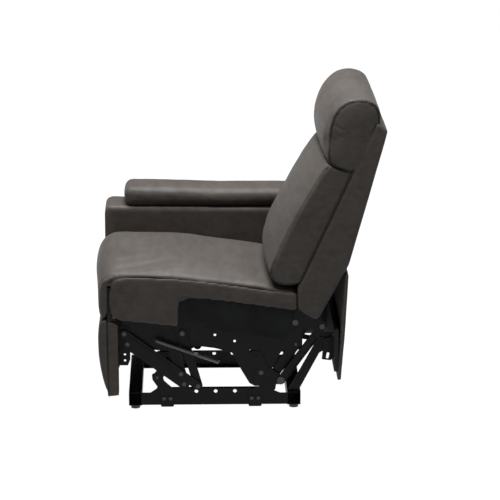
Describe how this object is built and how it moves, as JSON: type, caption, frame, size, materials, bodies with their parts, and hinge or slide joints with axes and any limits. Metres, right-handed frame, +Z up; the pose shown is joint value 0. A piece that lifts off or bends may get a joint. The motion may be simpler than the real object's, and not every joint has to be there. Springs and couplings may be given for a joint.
{
  "type": "recliner armchair",
  "caption": "One-arm reclining chair module with padded seat, back, tilting headrest, fold-out footrest and a steel wall-saver linkage.",
  "frame": {"origin": "on the floor under the middle of the bounding box", "axes": "+Z up, the sitter faces -Y, the arm is on the -X side and the open mechanism side is +X"},
  "size_m": [0.765, 0.958, 1.0728],
  "materials": {
    "leather": "satin",
    "wood": "matte",
    "dust_cloth": "matte",
    "webbing": "matte",
    "glide_plastic": "matte",
    "zinc_steel": "satin",
    "grey_steel": "satin",
    "black_steel": "satin"
  },
  "bodies": {
    "base": {"base_rails": "black_steel", "cross_tubes": "black_steel", "glides": "glide_plastic", "swing_posts": "black_steel", "base_pivots": "zinc_steel", "post_bolts": "zinc_steel", "rear_arms": "black_steel", "rear_brackets": "grey_steel", "rear_rail": "wood", "rear_panel": "leather", "arm_inner_panel": "leather", "arm_outer_panel": "leather", "arm_front_panel": "leather", "arm_rear_panel": "leather", "arm_deck": "wood", "arm_posts": "wood", "arm_base_board": "wood", "arm_pad": "leather", "arm_brackets": "black_steel"},
    "front_swing": {"front_swing_links": "black_steel"},
    "rear_swing": {"rear_swing_links": "black_steel"},
    "carriage": {"side_plates": "black_steel", "carriage_tubes": "black_steel", "carriage_pivots": "zinc_steel", "seat_side_rails": "wood", "seat_cross_rails": "wood", "seat_springs": "zinc_steel", "seat_cushion": "leather", "seat_side_covers": "leather", "seat_dust_cloths": "dust_cloth", "seat_hinge_leaves": "black_steel", "extension_springs": "zinc_steel"},
    "footrest": {"footrest_board": "wood", "footrest_battens": "wood", "footrest_pad": "leather", "footrest_band": "leather", "footrest_brackets": "black_steel", "footrest_pivots": "zinc_steel", "footrest_hinge_leaves": "black_steel"},
    "drive": {"drive_cranks": "black_steel", "drive_tube": "black_steel", "drive_pivots": "zinc_steel"},
    "idler": {"idler_cranks": "black_steel", "idler_pivots": "zinc_steel"},
    "link_a": {"footrest_links_a": "black_steel"},
    "link_b": {"footrest_links_b": "black_steel"},
    "back": {"back_side_rails": "wood", "back_cross_rails": "wood", "back_webbing": "webbing", "back_side_covers": "leather", "back_rear_cover": "leather", "back_cushion": "leather", "back_hinge_brackets": "black_steel", "lever_top_pivots": "zinc_steel", "headrest_hinges": "black_steel"},
    "recline_crank": {"recline_cranks": "black_steel", "lever_low_pivots": "zinc_steel"},
    "lever": {"back_levers": "black_steel"},
    "headrest": {"headrest_cushion": "leather", "headrest_frame": "black_steel"}
  },
  "joints": [
    {"name": "recline", "type": "hinge", "parent": "base", "child": "front_swing", "pos_m": [0.0875, -0.285, 0.112], "axis": [1, 0, 0], "range_deg": [0, 70]},
    {"name": "seat_level", "type": "hinge", "parent": "front_swing", "child": "carriage", "pos_m": [0.0875, -0.2047, 0.22668], "axis": [1, 0, 0], "range_deg": [-70, 0]},
    {"name": "rear_swing_turn", "type": "hinge", "parent": "base", "child": "rear_swing", "pos_m": [0.0875, 0.102, 0.112], "axis": [1, 0, 0], "range_deg": [0, 70]},
    {"name": "back_recline", "type": "hinge", "parent": "carriage", "child": "back", "pos_m": [0.0875, 0.179, 0.307], "axis": [-1, 0, 0], "range_deg": [0, 22]},
    {"name": "recline_crank_turn", "type": "hinge", "parent": "carriage", "child": "recline_crank", "pos_m": [0.0875, 0.065, 0.13], "axis": [1, 0, 0], "range_deg": [-27.24, 0]},
    {"name": "lever_turn", "type": "hinge", "parent": "back", "child": "lever", "pos_m": [0.0875, 0.269, 0.292], "axis": [1, 0, 0], "range_deg": [0, 19.95]},
    {"name": "footrest_open", "type": "hinge", "parent": "carriage", "child": "footrest", "pos_m": [0.0875, -0.446, 0.452], "axis": [-1, 0, 0], "range_deg": [0, 85]},
    {"name": "drive_turn", "type": "hinge", "parent": "carriage", "child": "drive", "pos_m": [0.0875, -0.257, 0.311], "axis": [-1, 0, 0], "range_deg": [0, 85]},
    {"name": "idler_turn", "type": "hinge", "parent": "carriage", "child": "idler", "pos_m": [0.0875, -0.19936, 0.26799], "axis": [-1, 0, 0], "range_deg": [0, 85]},
    {"name": "link_a_turn", "type": "hinge", "parent": "footrest", "child": "link_a", "pos_m": [0.0875, -0.383, 0.233], "axis": [-1, 0, 0], "range_deg": [-85, 0]},
    {"name": "link_b_turn", "type": "hinge", "parent": "footrest", "child": "link_b", "pos_m": [0.0875, -0.39378, 0.27048], "axis": [-1, 0, 0], "range_deg": [-85, 0]},
    {"name": "headrest_tilt", "type": "hinge", "parent": "back", "child": "headrest", "pos_m": [0.0875, 0.352, 0.858], "axis": [1, 0, 0], "range_deg": [0, 25]}
  ],
  "couplings": [
    {"joint": "seat_level", "follows": "recline", "ratio": -1},
    {"joint": "rear_swing_turn", "follows": "recline", "ratio": 1},
    {"joint": "back_recline", "follows": "recline", "ratio": 0.31429},
    {"joint": "recline_crank_turn", "follows": "recline", "ratio": -0.38632},
    {"joint": "lever_turn", "follows": "recline", "ratio": 0.28212},
    {"joint": "drive_turn", "follows": "footrest_open", "ratio": 1},
    {"joint": "idler_turn", "follows": "footrest_open", "ratio": 1},
    {"joint": "link_a_turn", "follows": "footrest_open", "ratio": -1},
    {"joint": "link_b_turn", "follows": "footrest_open", "ratio": -1}
  ]
}
